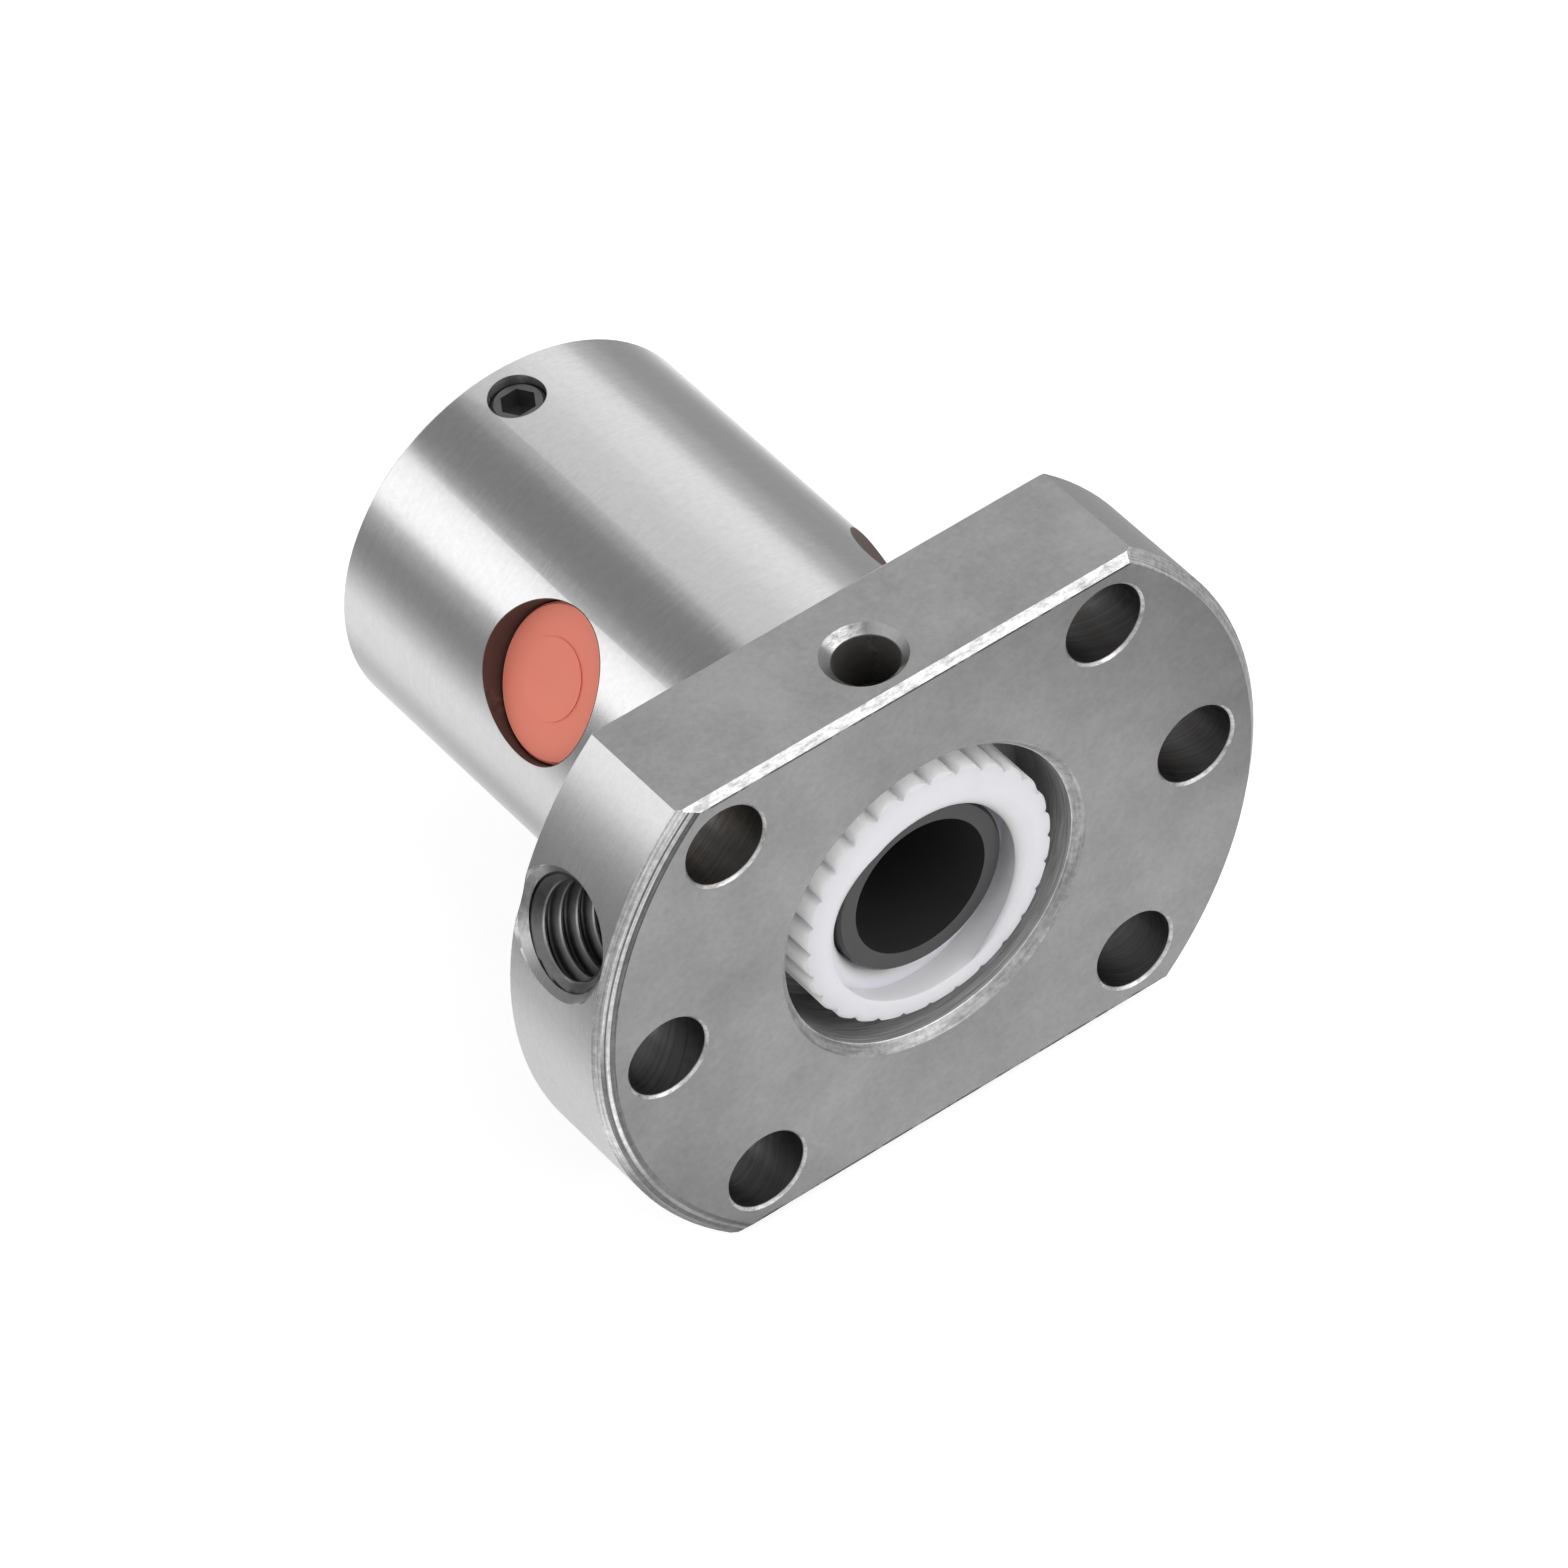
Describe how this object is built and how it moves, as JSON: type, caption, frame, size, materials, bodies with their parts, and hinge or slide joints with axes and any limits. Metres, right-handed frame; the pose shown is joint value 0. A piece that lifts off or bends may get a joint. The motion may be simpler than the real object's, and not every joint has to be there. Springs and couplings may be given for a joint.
{
  "type": "ball screw nut",
  "caption": "Flanged ball screw nut: round barrel and flange with two flats, side return caps, wipers and a transport sleeve in the bore.",
  "frame": {"origin": "on the bore's axis, in the plane of the flange's mounting face", "axes": "+Y along the bore from the flange to the barrel's free end, +Z square to the flange's two flats towards the one with the grub screw, +X to the side of the bolt holes away from the grease port"},
  "size_m": [0.04, 0.035, 0.0296],
  "materials": {
    "ground_steel": "ground bearing steel, satin with a fine circumferential grain",
    "white_plastic": "white moulded acetal",
    "coral_plastic": "coral red moulded plastic",
    "black_steel": "black oxide with a light film of oil",
    "polished_steel": "polished bearing steel",
    "dark_plastic": "dark grey extruded plastic"
  },
  "bodies": {
    "nut": {"nut_body": "ground_steel", "front_wiper": "white_plastic", "rear_wiper": "white_plastic", "front_wiper_screw": "black_steel", "rear_wiper_screw": "black_steel", "return_cap_1": "coral_plastic", "return_cap_2": "coral_plastic", "return_cap_3": "coral_plastic", "circuit_1_ball_01": "polished_steel", "circuit_1_ball_02": "polished_steel", "circuit_1_ball_03": "polished_steel", "circuit_1_ball_04": "polished_steel", "circuit_1_ball_05": "polished_steel", "circuit_1_ball_06": "polished_steel", "circuit_1_ball_07": "polished_steel", "circuit_1_ball_08": "polished_steel", "circuit_1_ball_09": "polished_steel", "circuit_1_ball_10": "polished_steel", "circuit_1_ball_11": "polished_steel", "circuit_1_ball_12": "polished_steel", "circuit_1_ball_13": "polished_steel", "circuit_1_ball_14": "polished_steel", "circuit_1_ball_15": "polished_steel", "circuit_1_ball_16": "polished_steel", "circuit_2_ball_01": "polished_steel", "circuit_2_ball_02": "polished_steel", "circuit_2_ball_03": "polished_steel", "circuit_2_ball_04": "polished_steel", "circuit_2_ball_05": "polished_steel", "circuit_2_ball_06": "polished_steel", "circuit_2_ball_07": "polished_steel", "circuit_2_ball_08": "polished_steel", "circuit_2_ball_09": "polished_steel", "circuit_2_ball_10": "polished_steel", "circuit_2_ball_11": "polished_steel", "circuit_2_ball_12": "polished_steel", "circuit_2_ball_13": "polished_steel", "circuit_2_ball_14": "polished_steel", "circuit_2_ball_15": "polished_steel", "circuit_2_ball_16": "polished_steel", "circuit_3_ball_01": "polished_steel", "circuit_3_ball_02": "polished_steel", "circuit_3_ball_03": "polished_steel", "circuit_3_ball_04": "polished_steel", "circuit_3_ball_05": "polished_steel", "circuit_3_ball_06": "polished_steel", "circuit_3_ball_07": "polished_steel", "circuit_3_ball_08": "polished_steel", "circuit_3_ball_09": "polished_steel", "circuit_3_ball_10": "polished_steel", "circuit_3_ball_11": "polished_steel", "circuit_3_ball_12": "polished_steel", "circuit_3_ball_13": "polished_steel", "circuit_3_ball_14": "polished_steel", "circuit_3_ball_15": "polished_steel", "circuit_3_ball_16": "polished_steel"},
    "sleeve": {"transport_sleeve": "dark_plastic"}
  },
  "joints": [
    {"name": "sleeve_slide", "type": "slide", "parent": "nut", "child": "sleeve", "axis": [0, 1, 0], "range_m": [-0.03, 0.03]}
  ]
}
